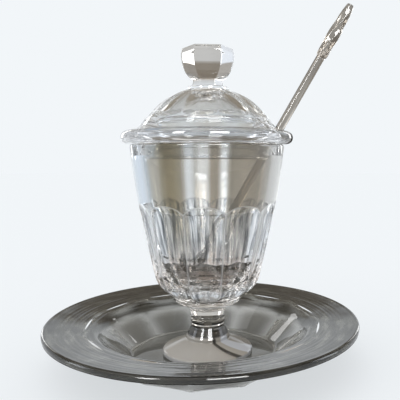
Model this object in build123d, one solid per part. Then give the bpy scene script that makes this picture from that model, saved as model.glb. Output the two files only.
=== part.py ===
from build123d import *
import math
import os

# A footed mustard pot of cut lead crystal: four loose pieces of glass. A saucer with
# a deep well, the pot that stands in it on a stem, a domed lid with a six-sided knob,
# and a spoon that leans out through a notch in the lid.
# Millimetres, +Z up. The origin is the middle of the saucer's base, on the table.

os.makedirs("parts", exist_ok=True)

# The cut pattern that the saucer, the bowl and the lid share
panels = 11            # flat panels cut side by side round each piece
overcut = 0.15         # depth of a panel past the one at which two neighbours just meet

# Clearances between the loose pieces
seat_gap = 0.3         # under the foot, under the lid, and at both rests of the spoon
spigot_gap = 0.5       # round the lid's locating ring in the mouth of the pot

# Saucer
saucer_r = 70.0        # outer radius of the brim
saucer_h = 19.5        # height of the brim's edge above the table
brim_t = 2.6           # thickness of the glass at the brim's edge
base_r = 38.0          # flat ground base that the saucer stands on
floor_t = 2.8          # thickness of the well's floor
well_floor_r = 33.0    # flat floor of the well
well_mouth_r = 48.0    # where the well's inside meets the top of the brim
well_mouth_h = 16.2
well_back_r = 50.0     # where the well's outside meets the underside of the brim
well_back_h = 12.4
well_arch_h = 6.2      # height at which the arched heads of the panels begin
well_wheel_r = 14.0    # radius of the wheel that ran out at the panels' heads
well_turn = -60.0      # azimuth of one edge between two panels, in degrees
brim_round = 0.45      # share of the brim's thickness that each of its edges is rounded by
base_edge_r = 0.6      # roundings: the base's edge, then the well's bends outside and inside
well_back_round = 5.0
well_mouth_round = 5.0
well_floor_round = 4.0

# Pot: heights are above the underside of its foot
pot_shift = 1.6        # the pot stands this far off the middle of the well, towards +X
foot_r = 20.4
foot_edge_h = 2.2      # thickness of the foot at its edge
foot_hollow = 1.0      # the underside rises this much, so the foot stands on its rim
foot_ring_w = 3.4      # width of the ring that the foot stands on
collar_r = 9.8         # ring where the stem meets the foot
collar_h = 6.5
collar_t = 1.3
waist_r = 7.2          # narrowest part of the stem
waist_h = 12.6
band_r = 7.7           # plain band round the stem, with a ledge on top
band_h = 13.8
band_t = 3.4
ledge_w = 0.4          # ledge on top of the band, where the stem steps in
flare_r = 8.3          # the stem again, where it begins to flare out to the disc
flare_h = 20.4
disc_r = 14.7          # disc between the stem and the bowl
disc_h = 23.2          # underside of the disc's edge
disc_t = 2.7
disc_edge = 1.2        # rounded edge of the disc: this far in, and a third of it up
bowl_foot_r = 13.8     # where the bowl rises from the disc
shoulder_r = 24.2      # where the bowl's round underside turns into its side
shoulder_h = 35.5
rim_r = 35.2           # outside of the bowl at its rim
pot_h = 94.7
rim_round_h = 1.6      # height of the rounded edge of the rim
side_swell = 0.95      # bulge of the bowl's side past a straight taper
knee_h = 27.6          # height of the corner that the bowl's round underside is drawn to
wall_t = 5.0           # wall of the bowl, in its plain band
lip_h = 4.6            # height of the bevel inside the mouth
lip_w = 1.95           # width of that bevel
bowl_floor_h = 32.9    # floor inside the bowl
bowl_floor_r = 11.5
bowl_corner_h = 11.0   # height of the round corner inside, above the floor
bowl_arch_h = 62.8     # height at which the arched heads of the bowl's panels begin
bowl_wheel_r = 10.5
bowl_turn = -137.0     # azimuth of one edge between two panels
stand_round = 1.0      # roundings of the foot, the collar, the waist and the crisp edges
foot_round = 0.8
waist_round = 1.5
flare_round = 2.0
disc_round = 0.85
crisp_r = 0.4
ledge_r = 0.1
rim_out_round = 1.1    # roundings of the rim: outside, inside, and below the bevel
rim_in_round = 0.6
lip_round = 1.5

# Lid: heights are above the underside of its flange
bead_r = 39.0          # outside of the rounded flange
bead_t = 5.6
dome_r = 31.2          # foot of the dome, on the flange
dome_h = 7.6
dome_foot_in = 4.9     # how the dome's curve leaves its foot: inwards and upwards
dome_foot_up = 5.9
dome_crown_out = 13.0  # and how it reaches the collar: from outwards and below
dome_crown_down = 3.55
seam_w = 2.2           # shallow hollow between the flange's bead and the dome
seam_h = 0.2
crown_r = 9.8          # collar on top of the dome
crown_h = 25.9
crown_t = 1.3
dome_inside_r = 24.6   # hollow inside the lid
dome_inside_h = 21.6
hollow_side = 0.45     # roundness of the hollow: share of its height that stays upright,
hollow_top = 0.72      # and share of its radius at which its top flattens
spigot_t = 4.0         # thickness of the locating ring
spigot_h = 6.7         # depth of the locating ring below the flange
spigot_draft = 0.3     # the ring is this much slimmer at its lower end
ring_round = 1.2       # roundings: the ring's inside, its lower edge, the collar's edge
ring_edge_r = 0.4
crown_edge_r = 0.5
bead_round = 0.49      # share of the bead's height that each of its two edges is rounded by
dome_start = 0.36      # share of the dome's curve, from its foot, that stays plain
dome_wheel_r = 11.0
lid_turn = -76.0       # azimuth of one edge between two panels
knob_sides = 6
neck_r = 7.3           # neck at the collar, to its edges
neck_top_r = 6.6
neck_h = 3.6
neck_sink = 0.5        # the neck runs this far into the collar
knob_under = 0.4       # slope of the knob's underside
knob_low_r = 7.2       # the knob, to its edges: at its underside, widest line and flat top
knob_r = 12.3
knob_top_r = 11.6
knob_h = 14.3
knob_waist_h = 10.8    # height of the widest line above the knob's underside
knob_belly_in = 1.8    # the belly below it: this far in from the widest line, and its height
knob_belly_h = 3.7
knob_low_slope = 0.6   # slope of the outline as it leaves the underside
knob_top_slope = -0.28 # how far it leans in, for each millimetre up, at the flat top
knob_turn = -115.2     # azimuth of one edge of the knob
notch_w = 8.6          # notch for the spoon, through flange and locating ring
notch_back = 2.2       # room left between the notch's flat back and the spoon
notch_corner = 1.6     # radius of the two corners at its back

# Spoon
shaft_r = 1.95
spoon_turn = -9.0      # azimuth in which the spoon leans out
lean = 30.2            # lean of the shaft from the vertical, in degrees
grip_l = 26.0          # twisted six-sided grip at the top
grip_root_r = 2.5      # the grip where it steps out from the shaft, to its edges
grip_r = 2.95          # where it is thickest
grip_full = 0.35       # share of the grip's length at which it is thickest
grip_tip_r = 1.7
grip_twist = 150.0     # turn of the six edges from one end of the grip to the other
grip_above_rim = 43.5  # shaft between the pot's rim and the grip
bend = 23.5            # the bowl of the spoon lies flatter than the shaft by this angle
bend_r = 9.0           # radius of that bend, at the middle of the shaft
scoop_l = 25.4         # bowl of the spoon: outside length, width and depth
scoop_w = 13.6
scoop_d = 5.8
scoop_t = 1.9          # its wall
scoop_gap = 0.39       # height of its back over the bowl's glass, which slopes there

# Worked out from the sizes above
half_panel = math.pi / panels
flat_share = math.cos(half_panel)      # a panel's middle lies this share of the radius out
foot_z = floor_t + seat_gap
rim_z = foot_z + pot_h
flange_z = rim_z + seat_gap
disc_top_h = disc_h + disc_t
reach = 2 * saucer_r                   # past the outside of everything
spare = 2.0                            # how far a cutter runs past what it cuts


def turned(*edges):
    """A solid of revolution from the edges of a closed outline, drawn as (radius, height)."""
    return revolve(Plane.XZ * make_face(list(edges)), Axis.Z)


def turned_corners(corners):
    """A solid of revolution from (radius, height, corner radius) points."""
    points = [(r, h) for r, h, _ in corners]
    radii = [rounding for _, _, rounding in corners]
    return turned(*FilletPolyline(*points, radius=radii, close=True).edges())


def arched_cutter(outline, half_width, first_edge):
    """One cutter for each panel: the closed outline (radius, height) outside the panel's
    face, pushed half_width both ways along the tangent, and turned to its place."""
    blade = extrude(Plane.XZ * make_face(outline), amount=half_width, both=True)
    step = 360 / panels
    return [Rot(0, 0, first_edge + (i + 0.5) * step) * blade for i in range(panels)]


def wheel_head(start, direction, radius):
    """The run-out at the end of a panel: an arc that bends outwards until it is level."""
    steepness = math.degrees(math.atan2(direction[1], direction[0]))
    return JernArc(start=start, tangent=direction, radius=radius, arc_size=-steepness)


def rest_of_curve(points, start):
    """The control points of a Bezier curve's stretch from share start to its end."""
    kept = [points[-1]]
    while len(points) > 1:
        points = [mix(a, b, start) for a, b in zip(points, points[1:])]
        kept.append(points[-1])
    return kept[::-1]


def mix(a, b, t):
    return (a[0] + (b[0] - a[0]) * t, a[1] + (b[1] - a[1]) * t)


def narrowed(points, share):
    return [(r * share, h) for r, h in points]


# Saucer

def saucer_blank():
    """The saucer as it is turned, before its panels are cut."""
    return turned_corners([
        (0, 0, 0),
        (base_r, 0, base_edge_r),
        (well_back_r, well_back_h, well_back_round),
        (saucer_r, saucer_h - brim_t, brim_round * brim_t),
        (saucer_r, saucer_h, brim_round * brim_t),
        (well_mouth_r, well_mouth_h, well_mouth_round),
        (well_floor_r, floor_t, well_floor_round),
        (0, floor_t, 0),
    ])


def saucer_panel():
    """Outline outside one panel: up the back of the well, then out under the brim."""
    slope = (well_back_r - base_r) / well_back_h
    inset = flat_share - overcut / base_r
    bottom = ((base_r - slope * spare) * inset, -spare)
    head = ((base_r + slope * well_arch_h) * inset, well_arch_h)
    run_out = wheel_head(head, (head[0] - bottom[0], head[1] - bottom[1]), well_wheel_r)
    far = run_out @ 1
    return [
        Line(bottom, head),
        run_out,
        Line(far, (reach, far.Y)),
        Line((reach, far.Y), (reach, -spare)),
        Line((reach, -spare), bottom),
    ]


def make_saucer():
    wide = well_back_r * math.tan(half_panel) + spare
    return saucer_blank() - arched_cutter(saucer_panel(), wide, well_turn)


# Pot

def side_radius(height):
    """Outside radius of the bowl's side before cutting: a taper with a slight bulge."""
    t = (height - shoulder_h) / (pot_h - shoulder_h)
    return shoulder_r + (rim_r - shoulder_r) * t + 4 * side_swell * t * (1 - t)


def side_slope(height):
    t = (height - shoulder_h) / (pot_h - shoulder_h)
    return (rim_r - shoulder_r + 4 * side_swell * (1 - 2 * t)) / (pot_h - shoulder_h)


def side_curve(low, high, inset=0.0):
    """Control points of the side between two heights, moved inwards by inset."""
    middle = side_radius(low) + side_slope(low) * (high - low) / 2
    return [
        (side_radius(low) - inset, low),
        (middle - inset, (low + high) / 2),
        (side_radius(high) - inset, high),
    ]


mouth_r = side_radius(pot_h - lip_h) - wall_t + lip_w


def under_curve():
    """Control points of the bowl's round underside, from the disc to the shoulder."""
    knee_r = shoulder_r - side_slope(shoulder_h) * (shoulder_h - knee_h)
    return [(bowl_foot_r, disc_top_h), (knee_r, knee_h), (shoulder_r, shoulder_h)]


def corner_curve():
    """Control points of the round corner inside the bowl, from its floor to its wall."""
    top = bowl_floor_h + bowl_corner_h
    wall_r = side_radius(top) - wall_t
    knee_r = wall_r - side_slope(top) * bowl_corner_h
    return [(bowl_floor_r, bowl_floor_h), (knee_r, bowl_floor_h), (wall_r, top)]


def pot_blank():
    """The pot as it is blown and turned: foot, stem, disc and bowl in one piece."""
    foot_to_disc = FilletPolyline(
        (0, foot_hollow),
        (foot_r - foot_ring_w, 0),
        (foot_r, 0),
        (foot_r, foot_edge_h),
        (collar_r, collar_h),
        (collar_r, collar_h + collar_t),
        (waist_r, waist_h),
        (band_r, band_h),
        (band_r, band_h + band_t),
        (band_r - ledge_w, band_h + band_t),
        (flare_r, flare_h),
        (disc_r - disc_edge, disc_h),
        (disc_r, disc_h + disc_edge / 3),
        (disc_r, disc_top_h),
        (bowl_foot_r, disc_top_h),
        radius=[stand_round, foot_round, stand_round, crisp_r, crisp_r, waist_round, crisp_r,
                crisp_r, ledge_r, flare_round, crisp_r, disc_round, disc_round],
    )
    lip_low = pot_h - lip_h
    rim = FilletPolyline(
        (side_radius(pot_h - rim_round_h), pot_h - rim_round_h),
        (rim_r, pot_h),
        (mouth_r, pot_h),
        (side_radius(lip_low) - wall_t, lip_low),
        (side_radius(lip_low - rim_round_h) - wall_t, lip_low - rim_round_h),
        radius=[rim_out_round, rim_in_round, lip_round],
    )
    corner = corner_curve()
    return turned(
        *foot_to_disc.edges(),
        Bezier(*under_curve()),
        Bezier(*side_curve(shoulder_h, pot_h - rim_round_h)),
        *rim.edges(),
        Bezier(*side_curve(corner[2][1], lip_low - rim_round_h, wall_t)),
        Bezier(*corner),
        Line((bowl_floor_r, bowl_floor_h), (0, bowl_floor_h)),
        Line((0, bowl_floor_h), (0, foot_hollow)),
    )


def bowl_panel():
    """Outline outside one panel: round the underside, up the side, then out."""
    inset = flat_share - overcut / shoulder_r
    under = narrowed(under_curve(), inset)
    side = narrowed(side_curve(shoulder_h, bowl_arch_h), inset)
    head = side[2]
    rise = (head[0] - side[1][0], head[1] - side[1][1])
    run_out = wheel_head(head, rise, bowl_wheel_r)
    far = run_out @ 1
    return [
        Bezier(*under),
        Bezier(*side),
        run_out,
        Line(far, (reach, far.Y)),
        Line((reach, far.Y), (reach, disc_top_h)),
        Line((reach, disc_top_h), under[0]),
    ]


def make_pot():
    wide = side_radius(bowl_arch_h) * math.tan(half_panel) + spare
    cut = pot_blank() - arched_cutter(bowl_panel(), wide, bowl_turn)
    return Pos(pot_shift, 0, foot_z) * cut


# Lid

spigot_r = side_radius(pot_h - lip_h) - wall_t - spigot_gap
dome = [
    (dome_r, dome_h),
    (dome_r - dome_foot_in, dome_h + dome_foot_up),
    (crown_r + dome_crown_out, crown_h - crown_t - dome_crown_down),
    (crown_r, crown_h - crown_t),
]
dome_inside = [
    (dome_inside_r, 0),
    (dome_inside_r, hollow_side * dome_inside_h),
    (hollow_top * dome_inside_r, dome_inside_h),
    (0, dome_inside_h),
]


def lid_blank():
    """Flange, locating ring and hollow dome, with the collar that the knob stands on."""
    inside_r = spigot_r - spigot_t
    ring = FilletPolyline(
        (dome_inside_r, 0),
        (inside_r, -spigot_h),
        (spigot_r - spigot_draft, -spigot_h),
        (spigot_r, 0),
        (bead_r, 0),
        (bead_r, bead_t),
        (dome_r + seam_w, bead_t + seam_h),
        (dome_r, dome_h),
        radius=[ring_round, ring_round, ring_edge_r, bead_round * bead_t, bead_round * bead_t,
                ring_round],
    )
    top = FilletPolyline(
        (crown_r, crown_h - crown_t),
        (crown_r, crown_h),
        (0, crown_h),
        radius=[crown_edge_r],
    )
    return turned(
        *ring.edges(),
        Bezier(*dome),
        *top.edges(),
        Line((0, crown_h), (0, dome_inside_h)),
        Bezier(*dome_inside),
    )


def dome_panel():
    """Outline outside one panel of the dome: from the collar down to its round end."""
    inset = flat_share - overcut / dome_r
    face = narrowed(rest_of_curve(dome, dome_start), inset)
    end = face[0]
    downwards = (end[0] - face[1][0], end[1] - face[1][1])
    run_out = wheel_head(end, downwards, dome_wheel_r)
    far = run_out @ 1
    under_collar = crown_h - crown_t
    return [
        Bezier(*face),
        Line(face[-1], (reach, under_collar)),
        Line((reach, under_collar), (reach, far.Y)),
        Line((reach, far.Y), far),
        run_out,
    ]


def make_knob():
    """One block for each flat, with the knob's outline on that side; all share the knob."""
    low = crown_h + neck_h
    top = low + knob_h
    outline = [
        (neck_r, crown_h - neck_sink),
        (neck_top_r, low - knob_under),
        (knob_low_r, low),
        (knob_r - knob_belly_in, low + knob_belly_h),
        (knob_r, low + knob_waist_h),
        (knob_top_r, top),
    ]
    a, b, c, d, e, f = narrowed(outline, math.cos(math.pi / knob_sides))
    far = -2 * knob_r
    side = make_face([
        Line((far, a[1]), a),
        Line(a, b),
        Line(b, c),
        Spline(c, d, e, f, tangents=[(1, knob_low_slope), (knob_top_slope, 1)]),
        Line(f, (far, top)),
        Line((far, top), (far, a[1])),
    ])
    block = extrude(Plane.XZ * side, amount=-far, both=True)
    step = 360 / knob_sides
    knob = Rot(0, 0, knob_turn + step / 2) * block
    for i in range(1, knob_sides):
        knob &= Rot(0, 0, knob_turn + (i + 0.5) * step) * block
    return knob


# Spoon: its line is worked out in the upright plane in which it leans

lean_rad = math.radians(lean)
scoop_lean = math.radians(lean + bend)
up_shaft = (math.sin(lean_rad), math.cos(lean_rad))
down_scoop = (-math.sin(scoop_lean), -math.cos(scoop_lean))
scoop_up = (-math.cos(scoop_lean), math.sin(scoop_lean))
rest = shaft_r + seat_gap
at_rim = (mouth_r - rest * up_shaft[1], rim_z + rest * up_shaft[0])


def along(point, direction, distance):
    return (point[0] + direction[0] * distance, point[1] + direction[1] * distance)


def bowl_surface(radius):
    """Height of the bowl's inside at a radius: its flat floor, then the round corner."""
    (r0, h0), (r1, _), (r2, h2) = corner_curve()
    if radius <= r0:
        return foot_z + h0
    if radius >= r2:
        return foot_z + h2 + (radius - r2) / side_slope(h2)
    bow = r0 - 2 * r1 + r2
    gain = r1 - r0
    t = (math.sqrt(gain * gain + bow * (radius - r0)) - gain) / bow
    return foot_z + h0 + (h2 - h0) * t * t


def scoop_middle(dip):
    """Middle of the scoop's rim when the bend lies this far down the shaft from the rim."""
    corner = along(at_rim, up_shaft, -dip)
    return along(corner, down_scoop, bend_r * math.tan(math.radians(bend) / 2) + scoop_l / 2)


def across(point, direction):
    """The plane square to a direction at a point, both given in the plane of the lean."""
    return Plane(
        origin=(point[0], 0, point[1]),
        x_dir=(direction[1], 0, -direction[0]),
        z_dir=(direction[0], 0, direction[1]),
    )


def egg_sizes(length, width, depth):
    """Half length, radius and height of the axis of an egg turned about its long axis,
    which is length by width at height 0 and reaches depth below that."""
    round_r = (width * width / 4 + depth * depth) / (2 * depth)
    rise = round_r - depth
    return length / 2 / math.sqrt(1 - (rise / round_r) ** 2), round_r, rise


def clears_bowl(dip):
    """Whether every point of the scoop's back is more than the clearance off the bowl."""
    middle = scoop_middle(dip)
    half, round_r, rise = egg_sizes(scoop_l, scoop_w, scoop_d)
    rings = 24
    for i in range(rings + 1):
        x = -scoop_l / 2 * math.cos(math.pi * i / rings)
        radius = round_r * math.sqrt(1 - (x / half) ** 2)
        edge = math.asin(min(1.0, rise / radius))
        for j in range(rings + 1):
            around = edge + (math.pi - 2 * edge) * j / rings
            y = radius * math.cos(around)
            z = rise - radius * math.sin(around)
            point = along(along(middle, down_scoop, x), scoop_up, z)
            if point[1] - bowl_surface(math.hypot(point[0], y)) < scoop_gap:
                return False
    return True


def find_dip():
    """How far down the shaft the bend lies when the scoop rests in the bowl's corner."""
    high, low = 0.0, 2.0 * pot_h
    for _ in range(40):
        middle = (high + low) / 2
        if clears_bowl(middle):
            high = middle
        else:
            low = middle
    return high


def egg(length, width, depth):
    half, round_r, rise = egg_sizes(length, width, depth)
    arc = EllipticalCenterArc((0, 0), half, round_r, 0, arc_size=180)
    outline = make_face([arc, Line((-half, 0), (half, 0))])
    return Pos(0, 0, rise) * (Rot(90, 0, 0) * revolve(outline, Axis.X))


def make_scoop(middle):
    """The spoon's bowl, and the egg that hollows it, in the tilted plane of its rim."""
    plane = across(middle, scoop_up)
    below = Pos(0, 0, -scoop_l) * Box(2 * scoop_l, 2 * scoop_l, 2 * scoop_l)
    outside = egg(scoop_l, scoop_w, scoop_d) & below
    hollow = egg(scoop_l - 2 * scoop_t, scoop_w - 2 * scoop_t, scoop_d - scoop_t)
    return plane * outside, plane * hollow


def grip_radius(share):
    """The grip swells from its root, then draws in more and more towards its tip."""
    if share < grip_full:
        return grip_root_r + (grip_r - grip_root_r) * math.sin(math.pi / 2 * share / grip_full)
    return grip_r - (grip_r - grip_tip_r) * ((share - grip_full) / (1 - grip_full)) ** 2


def make_grip(start):
    """Six-sided twisted grip, a loft through hexagons that turn on their way up."""
    steps = 6
    sections = []
    for i in range(steps + 1):
        plane = across(along(start, up_shaft, grip_l * i / steps), up_shaft)
        hexagon = RegularPolygon(grip_radius(i / steps), 6, rotation=grip_twist * i / steps)
        sections.append(plane * hexagon)
    return loft(sections)


def make_spoon():
    dip = find_dip()
    middle = scoop_middle(dip)
    corner = along(at_rim, up_shaft, -dip)
    grip_start = along(at_rim, up_shaft, grip_above_rim)
    in_grip = along(grip_start, up_shaft, shaft_r)
    root = along(middle, down_scoop, -scoop_l / 2 + 1.5 * scoop_t)
    line = FilletPolyline(
        (in_grip[0], 0, in_grip[1]),
        (corner[0], 0, corner[1]),
        (root[0], 0, root[1]),
        radius=[bend_r],
    )
    section = Plane(origin=line @ 0, z_dir=line % 0) * Circle(shaft_r)
    outside, hollow = make_scoop(middle)
    shaft = sweep(section, path=line)
    spoon = shaft + outside + make_grip(grip_start) - hollow
    return Pos(pot_shift, 0, 0) * (Rot(0, 0, spoon_turn) * spoon)


def spoon_notch():
    """The notch in the lid: a slot with a flat back, cut along the line of the shaft."""
    foot = along(at_rim, up_shaft, -(spigot_h + spare) / up_shaft[1])
    outwards = 2 * bead_r
    slot = Pos(outwards / 2 - shaft_r - notch_back, 0) * Rectangle(outwards, notch_w)
    slot = fillet(slot.vertices().sort_by(Axis.X)[:2], notch_corner)
    notch = extrude(across(foot, up_shaft) * slot, amount=2 * (spigot_h + dome_h))
    return Pos(pot_shift, 0, 0) * (Rot(0, 0, spoon_turn) * notch)


def make_lid():
    wide = dome_r * math.tan(half_panel) + spare
    cut = lid_blank() - arched_cutter(dome_panel(), wide, lid_turn)
    lid = Pos(pot_shift, 0, flange_z) * (cut + make_knob())
    return lid - spoon_notch()


def main():
    pieces = {
        "saucer": make_saucer(),
        "pot": make_pot(),
        "lid": make_lid(),
        "spoon": make_spoon(),
    }
    for name, piece in pieces.items():
        export_step(piece, f"parts/{name}.step")
        size = piece.bounding_box().size
        print(f"{name}: {size.X:.1f} x {size.Y:.1f} x {size.Z:.1f} mm, {piece.volume / 1000:.1f} ml")


main()
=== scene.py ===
# %% [markdown]
# # A footed mustard pot of cut lead crystal
# Four loose pieces of clear glass: a wide saucer, a pot on a stem, a domed lid with a
# six-sided knob, and a spoon that leans out through a notch in the lid. There is no metal
# and no hinge. Clear glass shows everything, also its back and its inside, so each piece
# is made here once more, finer than a construction model needs to be.

# %% The frame
import bpy
import math
import numpy as np
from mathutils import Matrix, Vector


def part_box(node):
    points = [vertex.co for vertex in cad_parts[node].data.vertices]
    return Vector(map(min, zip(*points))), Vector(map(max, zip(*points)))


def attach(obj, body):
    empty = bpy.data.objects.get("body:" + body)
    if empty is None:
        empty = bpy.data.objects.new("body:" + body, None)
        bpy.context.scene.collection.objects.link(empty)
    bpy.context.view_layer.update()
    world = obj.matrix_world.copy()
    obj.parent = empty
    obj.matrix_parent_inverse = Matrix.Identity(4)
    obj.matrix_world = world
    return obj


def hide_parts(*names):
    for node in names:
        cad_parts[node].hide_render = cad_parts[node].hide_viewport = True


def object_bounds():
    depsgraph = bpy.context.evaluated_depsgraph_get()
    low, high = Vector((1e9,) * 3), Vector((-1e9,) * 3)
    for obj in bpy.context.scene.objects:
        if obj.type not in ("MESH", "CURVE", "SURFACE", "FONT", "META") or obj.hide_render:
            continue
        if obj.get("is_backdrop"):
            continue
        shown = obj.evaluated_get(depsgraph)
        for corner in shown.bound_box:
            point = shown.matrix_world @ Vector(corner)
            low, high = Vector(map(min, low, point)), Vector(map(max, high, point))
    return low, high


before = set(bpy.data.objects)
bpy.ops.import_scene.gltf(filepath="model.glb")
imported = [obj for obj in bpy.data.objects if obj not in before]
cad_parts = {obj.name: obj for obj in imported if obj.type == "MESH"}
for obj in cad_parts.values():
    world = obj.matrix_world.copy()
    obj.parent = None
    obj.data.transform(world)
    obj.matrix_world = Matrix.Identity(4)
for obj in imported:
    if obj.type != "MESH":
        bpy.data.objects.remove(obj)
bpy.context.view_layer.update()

mm = 0.001


def box_mm(solid):
    low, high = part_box(solid)
    return [value / mm for value in low], [value / mm for value in high]


boxes = {name: box_mm(name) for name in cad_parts}
for name, (low, high) in boxes.items():
    print(name, "from", [round(v, 1) for v in low], "to", [round(v, 1) for v in high])

# %% [markdown]
# ## The camera
# A photograph of a round saucer gives its own camera away: the flatter the ellipse of the
# brim, the lower the eye. Here the eye is 90 mm above the table and 241 mm in front of the
# middle of the saucer. It looks level to a third of a degree, and the picture is a part of
# a wider one, which the lens shift stands for.

# %% The camera
picture = 400                    # width and height of the photograph, in pixels
focal = 525                      # distance of the picture behind the eye, in its own pixels
ahead = (251.7, 164.4)           # pixel that lies straight ahead of the eye
eye = (21.8, -241.3, 90.2)       # to the right, to the back and up, in millimetres
pitch_down = 0.33                # degrees

camera_data = bpy.data.cameras.new("camera")
camera_data.sensor_width = 36
camera_data.lens = camera_data.sensor_width * focal / picture
camera_data.shift_x = (picture / 2 - ahead[0]) / picture
camera_data.shift_y = (ahead[1] - picture / 2) / picture
camera = bpy.data.objects.new("camera", camera_data)
camera.location = [value * mm for value in eye]
camera.rotation_euler = (math.radians(90 - pitch_down), 0, 0)
bpy.context.collection.objects.link(camera)
bpy.context.scene.camera = camera
print("lens", round(camera_data.lens, 2), "mm, shift", camera_data.shift_x, camera_data.shift_y)

# %% [markdown]
# ## Glass on a spindle
# Turned and cut glass is round with flats, which are ground into it on a wheel. Here a
# sheet of square cells is wrapped once round the spindle: its columns go round, its rows
# follow the outline, and where a flat is ground, the cells move in onto it. A boolean cut
# would do it too, but leaves long thin faces, which show in clear glass. In the sheet,
# rows and columns crowd together at the edges of the flats, so that the narrow polished
# edge, which catches the light, is round and not a jagged line.

# %% Wrapping a sheet of cells
columns = 264                    # a multiple of the 11 flats and of the knob's 6
weld = 0.0005 * mm               # points nearer than this become one, at seams and poles
sharp = math.radians(40)         # edges that turn by more stay sharp


def nothing_selected():
    if bpy.context.object and bpy.context.object.mode != "OBJECT":
        bpy.ops.object.mode_set(mode="OBJECT")
    bpy.ops.object.select_all(action="DESELECT")


def welded(piece, turn_out=False):
    bpy.ops.object.mode_set(mode="EDIT")
    bpy.ops.mesh.select_all(action="SELECT")
    bpy.ops.mesh.remove_doubles(threshold=weld)
    if turn_out:
        bpy.ops.mesh.normals_make_consistent(inside=False)
    bpy.ops.object.mode_set(mode="OBJECT")
    bpy.ops.object.shade_smooth_by_angle(angle=sharp)
    print(piece.name, "has", len(piece.data.polygons), "faces")


def sheet_of_cells(name, place, marks=None):
    """A grid whose point in row i and column j is put at place[i, j], in millimetres.
    Marks are numbers from 0 to 1 for each point, such as how far an edge is worn and carries
    a painted highlight."""
    rows, wide = place.shape[:2]
    nothing_selected()
    bpy.ops.mesh.primitive_grid_add(x_subdivisions=wide - 1, y_subdivisions=rows - 1, size=2)
    piece = bpy.context.object
    piece.name = piece.data.name = name
    flat = np.empty(len(piece.data.vertices) * 3)
    piece.data.vertices.foreach_get("co", flat)
    flat = flat.reshape(-1, 3)
    column = np.rint((flat[:, 0] + 1) / 2 * (wide - 1)).astype(int)
    row = np.rint((flat[:, 1] + 1) / 2 * (rows - 1)).astype(int)
    piece.data.vertices.foreach_set("co", (place[row, column] * mm).ravel())
    for title, values in (marks or {}).items():
        mark = piece.data.attributes.new(title, "FLOAT", "POINT")
        mark.data.foreach_set("value", values[row, column].astype(np.float32))
    welded(piece, turn_out=True)
    return piece


# %% [markdown]
# ## Drawing an outline
# An outline is a list of stretches. A corner has a radius, because no edge of polished
# glass is sharp, and a long straight stretch gets one more row close to each of its
# ends. Without those rows the smooth shading would bend the whole flat. All sizes are in
# millimetres, and a point is a radius and a height.

# %% Outlines of lines, round corners and curves
near_end = 0.12                  # the extra row lies this far from the end of a stretch
arc_step = 7.5                   # degrees of a round corner for each row
same_row = 0.004                 # rows nearer than this are one row


def straight(a, b):
    a, b = np.array(a, float), np.array(b, float)
    length = np.linalg.norm(b - a)
    shares = [0, 1]
    if length > 4 * near_end:
        shares = [0, near_end / length, 1 - near_end / length, 1]
    return [a + (b - a) * share for share in shares]


def without_twins(rows):
    """The same rows without the ones that fall on the one before."""
    kept = [np.array(rows[0], float)]
    for row in rows[1:]:
        if np.linalg.norm(np.array(row) - kept[-1]) > same_row:
            kept.append(np.array(row, float))
    return np.array(kept)


def cornered(corners):
    """Rows along a line through (radius, height, rounding) corners."""
    points = [np.array(c[:2], float) for c in corners]
    rows, start = [], points[0]
    for i in range(1, len(points) - 1):
        before, here, after = points[i - 1], points[i], points[i + 1]
        into = (here - before) / np.linalg.norm(here - before)
        out = (after - here) / np.linalg.norm(after - here)
        turn = math.atan2(into[0] * out[1] - into[1] * out[0], into @ out)
        tangent = corners[i][2] * math.tan(abs(turn) / 2)
        rows += straight(start, here - into * tangent)
        if tangent > 0:
            side = np.array([-into[1], into[0]]) * math.copysign(corners[i][2], turn)
            centre = here - into * tangent + side
            steps = max(2, math.ceil(math.degrees(abs(turn)) / arc_step))
            for k in range(1, steps):
                c, s = math.cos(turn * k / steps), math.sin(turn * k / steps)
                turned = [side[1] * s - side[0] * c, -side[0] * s - side[1] * c]
                rows.append(centre + np.array(turned))
        start = here + out * tangent
    rows += straight(start, points[-1])
    return without_twins(rows)


def curve(points, steps):
    """Rows along a Bezier curve."""
    rows = []
    for i in range(steps + 1):
        left = [np.array(p, float) for p in points]
        while len(left) > 1:
            left = [a + (b - a) * i / steps for a, b in zip(left, left[1:])]
        rows.append(left[0])
    return np.array(rows)


def rest_of_curve(points, start):
    """The control points of a Bezier curve's stretch from share start to its end."""
    points = [np.array(p, float) for p in points]
    kept = [points[-1]]
    while len(points) > 1:
        points = [a + (b - a) * start for a, b in zip(points, points[1:])]
        kept.append(points[-1])
    return kept[::-1]


def run_out(start, direction, radius, steps=40):
    """The end of a flat, where the wheel leaves the glass: an arc that bends until level."""
    steep = math.atan2(direction[1], direction[0])
    reach = radius * math.copysign(1, steep)
    centre = np.array([start[0] + reach * math.sin(steep), start[1] - reach * math.cos(steep)])
    rows = []
    for k in range(1, steps + 1):
        angle = steep * (1 - k / steps)
        rows.append(centre + reach * np.array([-math.sin(angle), math.cos(angle)]))
    return rows


# %% [markdown]
# ## Grinding the flats
# Round the spindle, a flat is nearest in its middle and lies further out towards its
# sides. A point of the glass stays where the blank is nearer than the flat, and moves in
# where the flat is nearer. The two are blended over half a millimetre, the width of the
# polished edge. A round wheel leaves each flat a little hollow, which bends the light
# that a true flat would let straight through.
#
# Two marks go with the points, for the material to read: "cut" is 1 on a flat and 0 on the
# blank, and the other is 1 on the edges and fades away from them. The edges are painted
# white where it is: wear, and a painted highlight.

# %% Flats in a turned blank
edge_polish = 0.5                # how far a blank and its flats are blended
mark_edge = 0.1                  # the mark "cut" changes over this depth
samples = 3000                   # places along an outline where blank and flat are compared
crowding = 1.7                   # rows crowd by this power towards the end of a flat


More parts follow.
